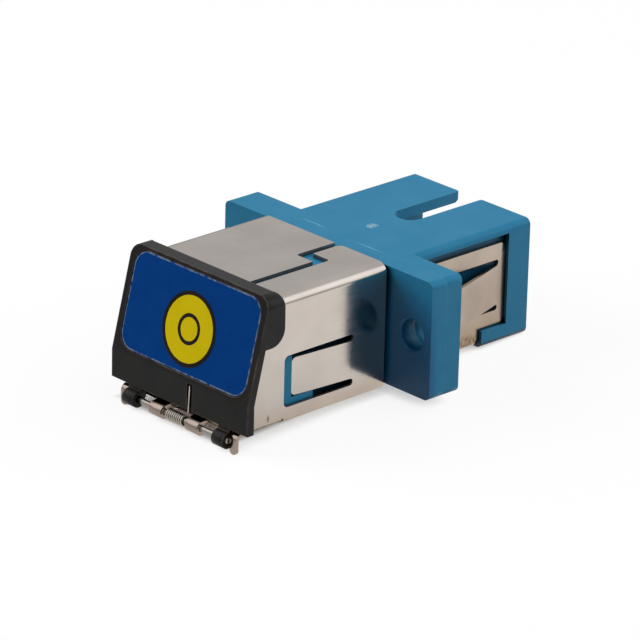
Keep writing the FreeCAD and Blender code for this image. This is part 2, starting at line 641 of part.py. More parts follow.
def torsion_spring():
    """The coil round the pin: one leg lies in the door's groove, one under the bottom sheet."""
    start, _ = leave_angle(STRIP_FRONT_Y - AXIS_Y, STRIP_BOTTOM - AXIS_Z - WIRE_D / 2)
    knee = V(LEG_X, DOOR_FRONT_Y + LEG_SINK, DOOR_BOTTOM - WIRE_D)
    tip = V(LEG_X, DOOR_FRONT_Y + LEG_TIP_SINK, GROOVE_TOP - WIRE_D)
    _, leave = leave_angle(knee.y - AXIS_Y, knee.z - AXIS_Z)
    turns = COIL_TURNS + (leave - start) / (2 * math.pi)
    helix = Part.makeHelix(COIL_L / turns, COIL_L, COIL_MEAN_R)
    helix.rotate(V(0, 0, 0), V(0, 1, 0), 90)
    helix.rotate(V(0, 0, 0), V(1, 0, 0), 90 + math.degrees(start))
    helix.translate(V(-COIL_L / 2, AXIS_Y, AXIS_Z))
    first = helix.Edges[0].valueAt(helix.Edges[0].FirstParameter)
    last = V(COIL_L / 2, AXIS_Y + COIL_MEAN_R * math.cos(leave), AXIS_Z + COIL_MEAN_R * math.sin(leave))
    back_end = first + V(0, math.sin(start), -math.cos(start)) * BACK_LEG_L
    path = Part.Wire([Part.makeLine(back_end, first), *helix.Edges,
                      Part.makeLine(last, knee), Part.makeLine(knee, tip)])
    return path.makePipeShell([wire_section(back_end, first - back_end)], True, True)


def export(node, shape):
    """Writes one piece, as one solid where its fuses left a compound."""
    solid = shape.Solids[0] if len(shape.Solids) == 1 else shape
    print(f"{node}: {len(shape.Solids)} solid, {solid.Volume:.3f} mm3, valid {solid.isValid()}")
    solid.exportStep(f"parts/{node}.step")


def main():
    os.makedirs("parts", exist_ok=True)
    front_body = body_half(SNAP_POCKET_END_Y)
    rear_insert = latch_insert()
    export("body_rear", body_half(POCKET_END_Y))
    export("body_front", turned(front_body))
    export("latch_insert_rear", rear_insert)
    export("latch_insert_front", turned(rear_insert))
    export("split_sleeve", split_sleeve())
    export("panel_clip", panel_clip())
    export("shutter_housing", shutter_housing())
    export("hinge_pin", hinge_pin())
    export("shutter_door", shutter_door())
    export("door_label", door_label())
    export("torsion_spring", torsion_spring())


main()
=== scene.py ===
# %% [markdown]
# # A shuttered SC fibre adapter
#
# The adapter is two blue mouldings welded together at their flanges. A spring clip wraps the
# rear tube, and a folded sheet box with a sprung black door closes the front one. All of it
# is about 3 cm long, so a tenth of a millimetre already shows, and this lesson is mostly
# about small edges, thin metal and honest plastic.
#
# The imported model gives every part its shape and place. This file gives them their finishes,
# and remakes the one part whose solid is only a stand-in, the torsion spring. The steps are
# the camera, the finishes, the edges, the spring, the printed mark, and then the floor, the
# lamps and the room.

import json
import math

import bmesh
import bpy
from mathutils import Euler, Matrix, Vector


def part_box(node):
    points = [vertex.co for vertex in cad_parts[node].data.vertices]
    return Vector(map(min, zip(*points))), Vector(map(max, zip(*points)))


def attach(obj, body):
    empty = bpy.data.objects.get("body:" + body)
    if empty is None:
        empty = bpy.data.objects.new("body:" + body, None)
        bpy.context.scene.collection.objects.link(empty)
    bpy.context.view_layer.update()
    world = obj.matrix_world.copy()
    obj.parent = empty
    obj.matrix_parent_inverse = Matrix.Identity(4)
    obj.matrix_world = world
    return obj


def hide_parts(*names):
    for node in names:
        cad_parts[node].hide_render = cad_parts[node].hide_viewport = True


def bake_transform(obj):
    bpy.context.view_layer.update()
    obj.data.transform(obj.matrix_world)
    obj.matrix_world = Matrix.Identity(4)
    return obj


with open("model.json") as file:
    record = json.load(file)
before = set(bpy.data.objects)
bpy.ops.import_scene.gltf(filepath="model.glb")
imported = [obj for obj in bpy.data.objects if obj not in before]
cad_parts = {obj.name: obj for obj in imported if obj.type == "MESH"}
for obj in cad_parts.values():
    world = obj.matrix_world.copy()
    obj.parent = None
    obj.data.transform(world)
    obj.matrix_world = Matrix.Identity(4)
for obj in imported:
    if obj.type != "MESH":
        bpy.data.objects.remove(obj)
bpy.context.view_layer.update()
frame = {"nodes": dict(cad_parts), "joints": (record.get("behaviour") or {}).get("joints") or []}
nodes = frame["nodes"]
MM = 0.001

# %% [markdown]
# ## The camera
#
# A long lens from some way off keeps the edges of a small object almost parallel, as in a
# catalogue picture. The view direction is given by its azimuth, elevation and roll, and the
# three axes of the camera are worked out from them and put into one matrix. That is easier
# to check than three Euler angles.

# %% Place the camera
AZIMUTH = math.radians(46.396)
ELEVATION = math.radians(22.214)
ROLL = math.radians(1.451)
CAMERA_PLACE = Vector((229.711, -219.275, 128.028)) * MM
LENS = 264.30
SENSOR = 36.0
CLIP_NEAR = 0.01
CLIP_FAR = 10.0


def camera_axes(azimuth, elevation, roll):
    """The camera's right, up and backward axes."""
    flat = math.cos(elevation)
    back = Vector((math.sin(azimuth) * flat, -math.cos(azimuth) * flat, math.sin(elevation)))
    right = Vector((0, 0, 1)).cross(back).normalized()
    up = back.cross(right)
    tilted_right = right * math.cos(roll) + up * math.sin(roll)
    tilted_up = up * math.cos(roll) - right * math.sin(roll)
    return tilted_right, tilted_up, back


camera_data = bpy.data.cameras.new("camera")
camera_data.lens = LENS
camera_data.sensor_width = SENSOR
camera_data.clip_start = CLIP_NEAR
camera_data.clip_end = CLIP_FAR
camera = bpy.data.objects.new("camera", camera_data)
axes = camera_axes(AZIMUTH, ELEVATION, ROLL)
camera.matrix_world = Matrix.Translation(CAMERA_PLACE) @ Matrix(axes).transposed().to_4x4()
bpy.context.scene.collection.objects.link(camera)
bpy.context.scene.camera = camera
bpy.context.scene.view_settings.view_transform = "Standard"
print("camera at", [round(c, 4) for c in CAMERA_PLACE])

# %% [markdown]
# ## Node materials
#
# Every finish below is a small node tree. Three helpers keep them readable: one starts a
# material with its Principled shader, one adds a node with its settings, and one joins two
# sockets. The last two work on a material and on the world alike, since both have a node
# tree, and in the helpers the word owner stands for either.

# %% Start a node tree
def start_material(name, color, roughness, metallic=0.0, sheen=0.5):
    """A new node material and its Principled shader, with sheen as its specular level."""
    material = bpy.data.materials.new(name)
    material.use_nodes = True
    shader = material.node_tree.nodes["Principled BSDF"]
    shader.inputs["Base Color"].default_value = (*color, 1.0)
    shader.inputs["Roughness"].default_value = roughness
    shader.inputs["Metallic"].default_value = metallic
    shader.inputs["Specular IOR Level"].default_value = sheen
    return material, shader


def add(owner, kind, inputs=None, **settings):
    """A node with its settings and unlinked inputs."""
    node = owner.node_tree.nodes.new("ShaderNode" + kind)
    for key, value in settings.items():
        setattr(node, key, value)
    for key, value in (inputs or {}).items():
        node.inputs[key].default_value = value
    return node


def join(owner, source, target):
    """Links an output socket to an input socket."""
    owner.node_tree.links.new(source, target)


print("node helpers ready")

# %% [markdown]
# ## Patterns
#
# All patterns are driven by Object coordinates. Each part's object sits at the origin with
# its place in its mesh, so these coordinates are real metres, and a noise scale of 10000
# gives grains of a tenth of a millimetre. A Mapping node stretches or turns a pattern, a
# Map Range node picks the part of a noise that shows, and a Mix node lays one tone over
# another where a mask is 1.

# %% Draw patterns
def place(material, scale=(1, 1, 1), rotation=(0, 0, 0), offset=(0, 0, 0)):
    """Object coordinates through a Mapping node."""
    coords = add(material, "TexCoord")
    mapping = add(material, "Mapping", {"Scale": scale, "Rotation": rotation, "Location": offset})
    join(material, coords.outputs["Object"], mapping.inputs["Vector"])
    return mapping.outputs["Vector"]


def noise(material, where, scale, detail=2.0, roughness=0.5):
    """The value of a noise texture."""
    node = add(material, "TexNoise", {"Scale": scale, "Detail": detail, "Roughness": roughness})
    join(material, where, node.inputs["Vector"])
    return node.outputs["Fac"]


def remap(owner, value, low, high, new_low=0.0, new_high=1.0):
    """A value moved from one range to another, and held inside it."""
    node = add(owner, "MapRange", {"From Min": low, "From Max": high,
                                   "To Min": new_low, "To Max": new_high})
    join(owner, value, node.inputs["Value"])
    return node.outputs["Result"]


def tint(owner, factor, color_a, color_b):
    """A mix of two colours by a factor socket."""
    node = add(owner, "Mix", data_type="RGBA")
    join(owner, factor, node.inputs["Factor"])
    for socket, color in ((node.inputs[6], color_a), (node.inputs[7], color_b)):
        if isinstance(color, bpy.types.NodeSocket):
            join(owner, color, socket)
        else:
            socket.default_value = (*color, 1.0)
    return node.outputs[2]


def bump(material, shader, height, strength, distance, before=None):
    """A bump from a height socket, joined to the shader."""
    node = add(material, "Bump", {"Strength": strength, "Distance": distance})
    join(material, height, node.inputs["Height"])
    if before is not None:
        join(material, before, node.inputs["Normal"])
    join(material, node.outputs["Normal"], shader.inputs["Normal"])
    return node.outputs["Normal"]


print("pattern helpers ready")

# %% [markdown]
# ## Sums on masks and places
#
# Wear, dirt, painted shade and painted highlights come from masks, which are values from 0 to 1.
# The product of two masks works where both do, and the larger of two works where either does.
# Vector Math does the same for places: it moves a pattern about, or measures how far a point is
# from a spot.

# %% Combine masks and places
def combine(owner, operation, value_a, value_b):
    """One Math node on two value sockets."""
    node = add(owner, "Math", operation=operation)
    join(owner, value_a, node.inputs[0])
    join(owner, value_b, node.inputs[1])
    return node.outputs[0]


def times(owner, value_a, value_b):
    """The product of two value sockets."""
    return combine(owner, "MULTIPLY", value_a, value_b)


def larger(owner, value_a, value_b):
    """The larger of two value sockets."""
    return combine(owner, "MAXIMUM", value_a, value_b)


def vector(owner, operation, first, second=None):
    """One Vector Math node on a socket, with a socket or a fixed vector beside it."""
    node = add(owner, "VectorMath", operation=operation)
    join(owner, first, node.inputs[0])
    if isinstance(second, bpy.types.NodeSocket):
        join(owner, second, node.inputs[1])
    elif second is not None:
        node.inputs[1].default_value = second
    return node.outputs["Value" if operation in ("LENGTH", "DOT_PRODUCT") else "Vector"]


print("sums ready")

# %% [markdown]
# ## Spots, gaps and edges
#
# Wear, dirt, painted shade and painted highlights sit in three kinds of place: at spots, in
# narrow gaps and on sharp edges.
# A spot is a soft ellipsoid round a given point. Gaps are found by ambient occlusion, which
# asks how much open air a point sees. Edges are found by the Bevel node: it gives the normal
# that a rounded edge would have, and where that differs from the true normal there is an
# edge. Neither node changes the mesh.

# %% Find spots, gaps and edges
AO_SAMPLES = 8
BEVEL_SAMPLES = 6
SPOT_CORE = 0.55


def shift(material, where, scale, amount):
    """Coordinates pushed about by a noise, by an amount in millimetres."""
    drift = add(material, "TexNoise", {"Scale": scale, "Detail": 2.0})
    join(material, where, drift.inputs["Vector"])
    centred = vector(material, "SUBTRACT", drift.outputs["Color"], (0.5, 0.5, 0.5))
    scaled = vector(material, "MULTIPLY", centred, (amount * MM,) * 3)
    return vector(material, "ADD", where, scaled)


def patch(material, where, centre, half):
    """1 in the middle of a soft ellipsoid, given by its centre and half sizes in millimetres."""
    moved = vector(material, "SUBTRACT", where, Vector(centre) * MM)
    scaled = vector(material, "DIVIDE", moved, Vector(half) * MM)
    return remap(material, vector(material, "LENGTH", scaled), 1.0, SPOT_CORE)


def crevices(material, reach, low, high):
    """1 in the open, falling to 0 in narrow gaps and pockets."""
    node = add(material, "AmbientOcclusion", {"Distance": reach * MM}, samples=AO_SAMPLES)
    return remap(material, node.outputs["AO"], low, high)


def edges_of(material, radius, flat=0.998, sharp=0.93):
    """1 on sharp edges within a radius in millimetres, 0 on flat faces."""
    rounded = add(material, "Bevel", {"Radius": radius * MM}, samples=BEVEL_SAMPLES)
    shape = add(material, "NewGeometry")
    same = vector(material, "DOT_PRODUCT", rounded.outputs["Normal"], shape.outputs["Normal"])
    return remap(material, same, flat, sharp)


print("wear helpers ready")

# %% [markdown]
# ## Blue moulded plastic
#
# The adapter halves are moulded in a blue, glass-filled plastic. Seen close, it isn't one
# flat blue. The melt leaves soft paler clouds, the mould's spark-eroded skin scatters the
# light, and faint upright lines show where the part was drawn out of the mould. Edges are
# rubbed paler, a tone that also paints the highlight the edges catch, and narrow gaps get
# painted shade. Thin lines of flash stand where the mould closed, and a rough spot marks
# the gate, where the plastic was fed in. The first cell makes the masks of those last two
# marks. The lines are straight on paper, so their coordinates are pushed about by a noise
# first.

# %% Mark the flash and the gate
BODY_TOP = 4.56
FLASH_LINES = ((-3.2, 1.72, 1.50), (2.9, 1.46, 1.62))
FLASH_HALF_W = 0.07
GATE_MARK = ((-0.12, 4.60, BODY_TOP), (0.42, 0.62, 0.5))


def flash_and_gate(material, where, skin):
    """Masks of the flash lines and of the gate mark."""
    wavy = shift(material, where, 900, 0.16)
    lines = [patch(material, wavy, (x, y, BODY_TOP), (half, FLASH_HALF_W, 0.5))
             for x, y, half in FLASH_LINES]
    gate = patch(material, shift(material, where, 3500, 0.5), *GATE_MARK)
    return larger(material, *lines), times(material, gate, remap(material, skin, 0.40, 0.55))


print(len(FLASH_LINES), "flash lines and a gate mark")

# %% [markdown]
# Now the whole plastic. Each feature is one mask that lays one tone over the last, so the
# order of the lines is the order of the layers. At the end, painted shade darkens two places:
# the flange's wing beside the shutter box, and the wall under the clip.

# %% Mix the blue plastic
BLUE = (0.004, 0.176, 0.328)
BLUE_PALE = (0.012, 0.194, 0.356)
BLUE_WEAR_AND_HIGHLIGHT = (0.040, 0.260, 0.430)
BLUE_FLASH = (0.120, 0.400, 0.560)
BLUE_SCAR = (0.330, 0.520, 0.600)
BLUE_PAINTED_SHADE = (0.000, 0.012, 0.026)
BLUE_SHADED = (0.000, 0.115, 0.285)
WING_SHADE = ((8.6, -0.1, -3.0), (4.6, 1.1, 8.0))
CLIP_SHADE = ((5.75, 7.5, -0.5), (0.35, 7.5, 5.5))
CLIP_SHADE_DEPTH = 0.6
RUB_RADIUS = 0.12
BLUE_SHADE_REACH = 1.6


def blue_plastic():
    """Clouds, drawn lines, rubbed and highlit edges, painted shade, flash and gate over one blue.
    """
    material, shader = start_material("blue_moulded", BLUE, 0.42, sheen=0.36)
    where = place(material)
    clouds = noise(material, where, 350, 3.0)
    skin = noise(material, where, 9000, 2.0)
    grain = noise(material, where, 26000, 1.0)
    drawn = noise(material, place(material, scale=(1, 1, 0.03)), 7000, 2.0)
    # Paler edges: rubbing wear and a painted highlight along the edges.
    rubbed_and_highlit = times(material, edges_of(material, RUB_RADIUS),
                   remap(material, clouds, 0.35, 0.6, 0.1, 0.6))
    flash, gate = flash_and_gate(material, where, skin)
    # Painted shade on the wall under the clip.
    painted_clip_shade = remap(material, patch(material, where, *CLIP_SHADE), 0, 1, 0, CLIP_SHADE_DEPTH)
    tone = tint(material, remap(material, clouds, 0.35, 0.7), BLUE, BLUE_PALE)
    tone = tint(material, remap(material, drawn, 0.55, 0.75, 0, 0.35), tone, BLUE_PALE)
    tone = tint(material, rubbed_and_highlit, tone, BLUE_WEAR_AND_HIGHLIGHT)
    # Painted shade: narrow gaps and pockets are darkened.
    tone = tint(material, crevices(material, BLUE_SHADE_REACH, 0.38, 0.72), BLUE_PAINTED_SHADE, tone)
    tone = tint(material, flash, tone, BLUE_FLASH)
    tone = tint(material, gate, tone, BLUE_SCAR)
    # Painted shade on the flange's wing beside the shutter box.
    tone = tint(material, patch(material, where, *WING_SHADE), tone, BLUE_SHADED)
    # Lays the painted shade under the clip.
    tone = tint(material, painted_clip_shade, tone, BLUE_PAINTED_SHADE)
    join(material, tone, shader.inputs["Base Color"])
    join(material, remap(material, skin, 0.3, 0.7, 0.36, 0.50), shader.inputs["Roughness"])
    first = bump(material, shader, skin, 0.18, 0.00002)
    second = bump(material, shader, grain, 0.12, 0.00001, first)
    bump(material, shader, larger(material, flash, gate), 0.6, 0.00004, second)
    return material


blue = blue_plastic()
print("made", blue.name)

# %% [markdown]
# ## Rolled sheet metal
#
# The shutter box and the clip are cut and folded from thin rolled sheet. Rolling leaves
# faint lines all one way and a slightly uneven polish. A noise stretched some thirty times
# along the rolling direction makes the lines. The same noise moves the roughness a little,
# so that reflections break up as they do on real sheet. The clip's steel is warmer in tone,
# and the pin and the spring's wire are drawn instead of rolled.

# %% Roll the sheet
NICKEL = (0.660, 0.605, 0.555)
WARM_STEEL = (0.552, 0.470, 0.397)
BRIGHT_STEEL = (0.500, 0.470, 0.420)
WIRE_STEEL = (0.780, 0.720, 0.640)
ALONG_X = (0.03, 1.0, 1.0)
ALONG_Y = (1.0, 0.03, 1.0)
ALONG_Z = (1.0, 1.0, 0.03)
NO_WAY = (1.0, 1.0, 1.0)


def rolled_metal(name, color, rough, along, line_scale, cloud=0.06):
    """A metal with fine lines along one axis and soft clouds of tone."""
    material, shader = start_material(name, color, rough, 1.0)
    lines = noise(material, place(material, scale=along), line_scale, 3.0)
    clouds = noise(material, place(material), 280, 2.0)
    darker = tuple(c * (1 - 2 * cloud) for c in color)
    factor = remap(material, clouds, 0.3, 0.7)
    join(material, tint(material, factor, darker, color), shader.inputs["Base Color"])
    join(material, remap(material, lines, 0.25, 0.75, rough - 0.03, rough + 0.04),
         shader.inputs["Roughness"])
    bump(material, shader, lines, 0.04, 0.000004)
    return material


nickel = rolled_metal("nickel_sheet", NICKEL, 0.15, ALONG_Y, 9000)
clip_steel = rolled_metal("clip_steel", WARM_STEEL, 0.24, ALONG_Z, 8000, 0.10)
pin_steel = rolled_metal("pin_steel", BRIGHT_STEEL, 0.20, ALONG_X, 9000)
wire_steel = rolled_metal("spring_wire", WIRE_STEEL, 0.30, NO_WAY, 12000)
print("made", nickel.name, clip_steel.name, pin_steel.name, wire_steel.name)

# %% [markdown]
# ## Sheared edges
#
# Where the sheet was cut, its edge is dull grey and rougher than its faces. These edges lie
# a little inside the folded box and face sideways, not outwards. So the mask asks two things
# of a point: how deep it is below the box's rounded outside, and whether its normal runs
# along the sheet. The depth comes from folding the coordinates into one corner, taking off
# the straight part of the box and measuring what is left.

# %% Dull the cut edges
SHEARED = (0.230, 0.218, 0.200)
SHEARED_ROUGH = 0.6
BOX_CORNER_R = 0.79 * MM
SHEET_T = 0.26 * MM
EDGE_BLUR = 0.02 * MM
ACROSS = (1, 0, 1)
box_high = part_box("shutter_housing")[1]


def layer(material, socket_name):
    """The shader's input of a name, and the socket that feeds it now."""
    target = material.node_tree.nodes["Principled BSDF"].inputs[socket_name]
    return target, target.links[0].from_socket


def past_straight(owner, where, straight):
    """Folds a place into one corner, and keeps what lies past a box's straight part."""
    past = vector(owner, "SUBTRACT", vector(owner, "ABSOLUTE", where), straight)
    return vector(owner, "MAXIMUM", past, (0, 0, 0))


def cut_edges(material, half_x, half_z, corner, thick):
    """Dulls the sheared edges of a folded box, which face sideways just inside its faces."""
    coords = add(material, "TexCoord")
    flat = vector(material, "MULTIPLY", coords.outputs["Object"], ACROSS)
    outside = past_straight(material, flat, (half_x - corner, 0, half_z - corner))
    depth = vector(material, "LENGTH", outside)
    outward = vector(material, "NORMALIZE", outside)
    facing = vector(material, "ABSOLUTE", coords.outputs["Normal"])
    sideways = remap(material, vector(material, "DOT_PRODUCT", facing, outward), 0.75, 0.45)
    below = remap(material, depth, corner - EDGE_BLUR, corner - 2 * EDGE_BLUR)
    above = remap(material, depth, corner - thick, corner - thick + EDGE_BLUR)
    cut = times(material, sideways, times(material, below, above))
    color, color_before = layer(material, "Base Color")
    join(material, tint(material, cut, color_before, SHEARED), color)
    rough, rough_before = layer(material, "Roughness")
    mix = add(material, "Mix", {"B": SHEARED_ROUGH}, data_type="FLOAT")
    join(material, cut, mix.inputs["Factor"])
    join(material, rough_before, mix.inputs["A"])
    join(material, mix.outputs[0], rough)


cut_edges(nickel, box_high.x, box_high.z, BOX_CORNER_R, SHEET_T)
print(f"dulled edges of a box {2 * box_high.x / MM:.2f} mm wide")

# %% [markdown]
# ## Tones by height, painted light and stains
#
# The box is darker and browner towards its lower fold. On the clip, painted light makes the
# top brightest and painted shade darkens its lower part. A colour ramp on the height multiplies
# the metal's own colour.
# Three small marks sit on top: grime in the box's front lower fold, a scratch above it, and
# a brown stain low on the clip, whose noise is stretched upright so that it runs in streaks.

# %% Tone the metals, paint light and shade on the clip, and stain them
SOIL_GREY = (0.160, 0.140, 0.125)
SOIL_BROWN = (0.150, 0.085, 0.050)
NICKEL_RANGE = (-6.4, 4.9)
NICKEL_TONES = ((-4.98, (0.80, 0.70, 0.66)), (-4.86, (0.45, 0.40, 0.36)),
                (-4.70, (0.93, 0.87, 0.79)), (-4.2, (0.96, 0.88, 0.84)), (-3.2, (1, 1, 1)))
CLIP_RANGE = (-4.9, 4.9)
# Painted light and shade on the clip: brightest at the top, darker lower down.
CLIP_PAINTED_LIGHT = ((-3.6, (0.79, 0.72, 0.60)), (-2.2, (0.83, 0.80, 0.77)),
              (0.8, (0.83, 0.80, 0.79)), (2.8, (1, 1, 1)))
FOLD_GRIME = ((6.6, -11.6, -4.75), (0.8, 2.6, 0.30))
SCRATCH = ((6.59, -11.6, -4.1), (0.4, 0.14, 0.32))
UPRIGHT = (1, 1, 0.35)
CLIP_STAIN = ((6.0, 8.75, -1.40), (0.8, 1.5, 0.28))


def tone_by_height(material, foot, head, stops):
    """Multiplies a material's colour by tones that change between two heights in millimetres."""
    target, before = layer(material, "Base Color")
    coords = add(material, "TexCoord")
    split = add(material, "SeparateXYZ")
    ramp = add(material, "ValToRGB")
    while len(ramp.color_ramp.elements) < len(stops):
        ramp.color_ramp.elements.new(0.5)
    for stop, (height, color) in zip(ramp.color_ramp.elements, stops):
        stop.position = (height - foot) / (head - foot)
        stop.color = (*color, 1)
    mix = add(material, "Mix", {"Factor": 1.0}, data_type="RGBA", blend_type="MULTIPLY")
    join(material, coords.outputs["Object"], split.inputs["Vector"])
    join(material, remap(material, split.outputs["Z"], foot * MM, head * MM), ramp.inputs["Fac"])
    join(material, before, mix.inputs[6])
    join(material, ramp.outputs["Color"], mix.inputs[7])
    join(material, mix.outputs[2], target)


def soil(material, where, centre, half, color, strength):
    """Lays a broken, soft-edged stain over a material's colour."""
    target, before = layer(material, "Base Color")
    spot = patch(material, where, centre, half)
    broken = remap(material, noise(material, where, 6500, 3.0), 0.36, 0.62, 0, strength)
    join(material, tint(material, times(material, spot, broken), before, color), target)


tone_by_height(nickel, *NICKEL_RANGE, NICKEL_TONES)
# Painted light and shade by height on the clip.
tone_by_height(clip_steel, *CLIP_RANGE, CLIP_PAINTED_LIGHT)
soil(nickel, place(nickel), *FOLD_GRIME, SOIL_GREY, 0.6)
soil(nickel, place(nickel), *SCRATCH, SOIL_GREY, 1.0)
soil(clip_steel, place(clip_steel, scale=UPRIGHT), *CLIP_STAIN, SOIL_BROWN, 0.85)
print("toned", nickel.name, "and", clip_steel.name)

# %% [markdown]
# ## Black door plastic, latch inserts and ceramic
#
# The door is a black plastic with a fine satin skin. The latch inserts behind each port are
# ivory plastic, and the split sleeve between them is ground zirconia, which is white and
# very smooth. One helper makes all three: a colour that drifts to a paler one in soft
# clouds, and a skin that moves both the roughness and a fine bump.

# %% Mould the plastics
BLACK = (0.009, 0.009, 0.009)
BLACK_CLOUD = (0.014, 0.013, 0.012)
IVORY = (0.640, 0.620, 0.550)
IVORY_PALE = (0.700, 0.680, 0.600)
ZIRCONIA = (0.800, 0.790, 0.750)
ZIRCONIA_PALE = (0.840, 0.830, 0.800)


def moulded(name, color, pale, rough, skin_scale, skin_strength, sheen=0.5):
    """A moulded plastic with soft clouds of tone and a fine skin."""
    material, shader = start_material(name, color, rough, sheen=sheen)
    where = place(material)
    clouds = noise(material, where, 500, 3.0)
    skin = noise(material, where, skin_scale, 2.0)
    factor = remap(material, clouds, 0.35, 0.75)
    join(material, tint(material, factor, color, pale), shader.inputs["Base Color"])
    join(material, remap(material, skin, 0.3, 0.7, rough - 0.06, rough + 0.08),
         shader.inputs["Roughness"])
    bump(material, shader, skin, skin_strength, 0.00002)
    return material


black = moulded("black_moulded", BLACK, BLACK_CLOUD, 0.30, 11000, 0.08, sheen=0.22)
ivory = moulded("ivory_moulded", IVORY, IVORY_PALE, 0.45, 9000, 0.12)
ceramic = moulded("zirconia_ground", ZIRCONIA, ZIRCONIA_PALE, 0.18, 20000, 0.03)
print("made", black.name, ivory.name, ceramic.name)

# %% [markdown]
# ## Rubbed, highlit edges and painted shade in gaps
#
# The black door's edges are rubbed to a paler brown, in patches, and the same tone paints the
# highlight that the edges catch. Its gaps get painted shade, deeper than black paint alone would
# look. The spring needs painted shade even more: without dark gaps between its turns, a coil
# this fine looks like a plain tube.

# %% Wear and highlight the door's edges, and paint shade in the door's and the wire's gaps
BLACK_WEAR_AND_HIGHLIGHT = (0.140, 0.100, 0.080)
BLACK_PAINTED_SHADE = (0.002, 0.002, 0.002)
WIRE_PAINTED_SHADE = (0.100, 0.080, 0.065)
DOOR_RUB_RADIUS = 0.14
DOOR_GAP_REACH = 2.0
WIRE_GAP_REACH = 0.25


def rub_and_highlight_edges(material, radius, color, low, high):
    """Lays a paler tone along a material's sharp edges: rubbing wear and a painted highlight."""
    target, before = layer(material, "Base Color")
    patches = remap(material, noise(material, place(material), 900, 3.0), 0.35, 0.65, low, high)
    worn_and_highlit = times(material, edges_of(material, radius, flat=0.999, sharp=0.975), patches)
    join(material, tint(material, worn_and_highlit, before, color), target)


def paint_gap_shade(material, reach, low, high, color):
    """Paints shade in a material's narrow gaps."""
    target, before = layer(material, "Base Color")
    open_air = crevices(material, reach, low, high)
    join(material, tint(material, open_air, color, before), target)


# The paler edge tone is rubbing wear and a painted highlight.
rub_and_highlight_edges(black, DOOR_RUB_RADIUS, BLACK_WEAR_AND_HIGHLIGHT, 0.1, 0.9)
# Painted shade in the door's gaps and between the spring's turns.
paint_gap_shade(black, DOOR_GAP_REACH, 0.30, 0.75, BLACK_PAINTED_SHADE)
paint_gap_shade(wire_steel, WIRE_GAP_REACH, 0.35, 0.80, WIRE_PAINTED_SHADE)
print("worn_and_highlit", black.name, "and", wire_steel.name)

# %% [markdown]
# ## The label
#
# The label is a printed film: blue ink under a clear satin face, with a thin pale line round
# its rim where the ink stops short and the film's cut edge shows. The line is a mask on the
# distance to the rounded outline, found as for the sheared edges, and a noise breaks it up.
# The label leans back with the door, so the Mapping node first moves the coordinates to the
# label's middle and turns them upright.

# %% Measure the label
LEAN = math.radians(13.8)
LABEL_T = 0.10 * MM
label_low, label_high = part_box("door_label")
label_foot = Vector((0, label_low.y, label_low.z + LABEL_T * math.sin(LEAN)))
label_head = Vector((0, label_high.y - LABEL_T * math.cos(LEAN), label_high.z))
label_up = (label_head - label_foot).normalized()
label_out = Vector((1, 0, 0)).cross(label_up)
label_out = label_out if label_out.y < 0 else -label_out
label_middle = (label_foot + label_head) / 2
label_size = (label_high.x - label_low.x, (label_head - label_foot).length)
print(f"label {label_size[0] / MM:.2f} by {label_size[1] / MM:.2f} mm")

# %% Print the label film
LABEL_CORNER_R = 1.30 * MM
LABEL_BLUE = (0.000, 0.044, 0.222)
LABEL_BLUE_PALE = (0.001, 0.056, 0.258)
LABEL_EDGE = (0.220, 0.300, 0.400)
RIM_START = 0.13 * MM
RIM_FULL = 0.07 * MM


def label_film():
    """Blue ink, with a pale broken line round its rim."""
    material, shader = start_material("label_film", LABEL_BLUE, 0.45, sheen=0.06)
    upright = Euler((LEAN, 0, 0)).to_matrix()
    local = place(material, rotation=(LEAN, 0, 0), offset=upright @ -label_middle)
    straight = (label_size[0] / 2 - LABEL_CORNER_R, 1, label_size[1] / 2 - LABEL_CORNER_R)
    reach = vector(material, "LENGTH", past_straight(material, local, straight))
    rim = remap(material, reach, LABEL_CORNER_R - RIM_START, LABEL_CORNER_R - RIM_FULL)
    broken = remap(material, noise(material, local, 2600, 2.0), 0.35, 0.60)
    clouds = remap(material, noise(material, local, 900, 4.0, 0.7), 0.3, 0.75)
    ink_tone = tint(material, clouds, LABEL_BLUE, LABEL_BLUE_PALE)
    edged = tint(material, times(material, rim, broken), ink_tone, LABEL_EDGE)
    join(material, edged, shader.inputs["Base Color"])
    skin = noise(material, local, 5000, 2.0)
    join(material, remap(material, skin, 0.3, 0.7, 0.40, 0.52), shader.inputs["Roughness"])
    bump(material, shader, skin, 0.08, 0.00001)
    return material


film = label_film()
print("made", film.name)

# %% [markdown]
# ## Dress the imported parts
#
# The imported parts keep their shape. Four modifiers finish them. Weld joins the loose
# triangles, and Decimate dissolves the lines between those that lie in one flat face. Bevel
# then breaks each sharp edge by a few hundredths of a millimetre, so that it catches light as
# a real edge does, and Weighted Normal keeps the flat faces flat in the shading while the
# bends stay smooth.

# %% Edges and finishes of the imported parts
WELD_REACH = 0.0005 * MM
FLAT_ANGLE = math.radians(0.5)
SHARP_ANGLE = math.radians(30.0)
EDGE_SEGMENTS = 2
FLAT_WEIGHT = 100


def soften(obj, width):
    """Breaks an object's sharp edges by a width in millimetres."""
    for polygon in obj.data.polygons:
        polygon.use_smooth = True
    weld = obj.modifiers.new("weld", "WELD")
    weld.merge_threshold = WELD_REACH
    flat = obj.modifiers.new("flat_faces", "DECIMATE")
    flat.decimate_type = "DISSOLVE"
    flat.angle_limit = FLAT_ANGLE
    bevel = obj.modifiers.new("edges", "BEVEL")
    bevel.width = width * MM
    bevel.segments = EDGE_SEGMENTS
    bevel.limit_method = "ANGLE"
    bevel.angle_limit = SHARP_ANGLE
    bevel.use_clamp_overlap = True
    normals = obj.modifiers.new("normals", "WEIGHTED_NORMAL")
    normals.keep_sharp = False
    normals.weight = FLAT_WEIGHT


